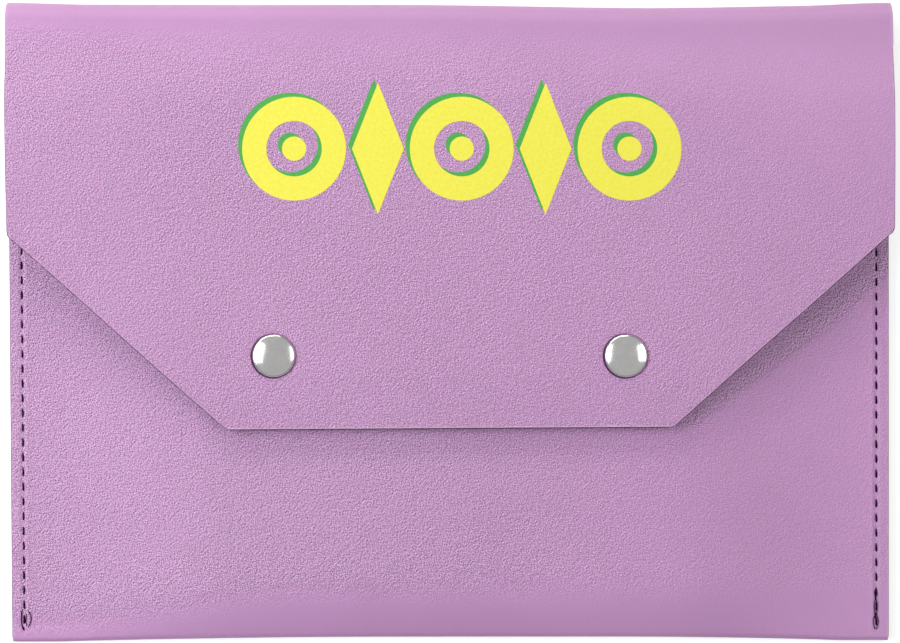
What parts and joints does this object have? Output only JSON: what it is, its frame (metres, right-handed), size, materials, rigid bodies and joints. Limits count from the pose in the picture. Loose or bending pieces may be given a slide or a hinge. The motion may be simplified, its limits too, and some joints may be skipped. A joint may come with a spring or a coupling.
{
  "type": "game card holder",
  "caption": "Slim leather envelope pouch that holds a folded mahjong score card, its folding flap closed by press fasteners.",
  "frame": {"origin": "middle of the closed pouch's outline, on the surface that its back lies on", "axes": "+X across the pouch, +Y from the bottom fold to the top fold, +Z out of the front"},
  "size_m": [0.2056, 0.1492, 0.0125],
  "materials": {
    "lilac_leather": "grained",
    "purple_thread": "matte",
    "nickel": "polished",
    "spring_steel": "satin"
  },
  "bodies": {
    "pouch": {"back_panel": "lilac_leather", "front_panel": "lilac_leather", "left_needle_thread": "purple_thread", "left_bobbin_thread": "purple_thread", "right_needle_thread": "purple_thread", "right_bobbin_thread": "purple_thread", "left_snap_stud": "nickel", "left_snap_eyelet": "nickel", "right_snap_stud": "nickel", "right_snap_eyelet": "nickel"},
    "fold": {"top_fold": "lilac_leather"},
    "flap": {"flap": "lilac_leather", "left_snap_cap": "nickel", "left_snap_rivet": "nickel", "left_snap_socket": "nickel", "left_snap_ring": "spring_steel", "right_snap_cap": "nickel", "right_snap_rivet": "nickel", "right_snap_socket": "nickel", "right_snap_ring": "spring_steel"}
  },
  "joints": [
    {"name": "fold_bend", "type": "hinge", "parent": "pouch", "child": "fold", "pos_m": [0, 0.07286, 0.00139], "axis": [-1, 0, 0], "range_deg": [0, 87], "deforming": ["top_fold"]},
    {"name": "flap_bend", "type": "hinge", "parent": "fold", "child": "flap", "pos_m": [0, 0.07286, 0.00721], "axis": [-1, 0, 0], "range_deg": [0, 87], "deforming": ["left_snap_ring", "right_snap_ring"]}
  ],
  "couplings": [
    {"joint": "flap_bend", "follows": "fold_bend", "ratio": 1}
  ]
}
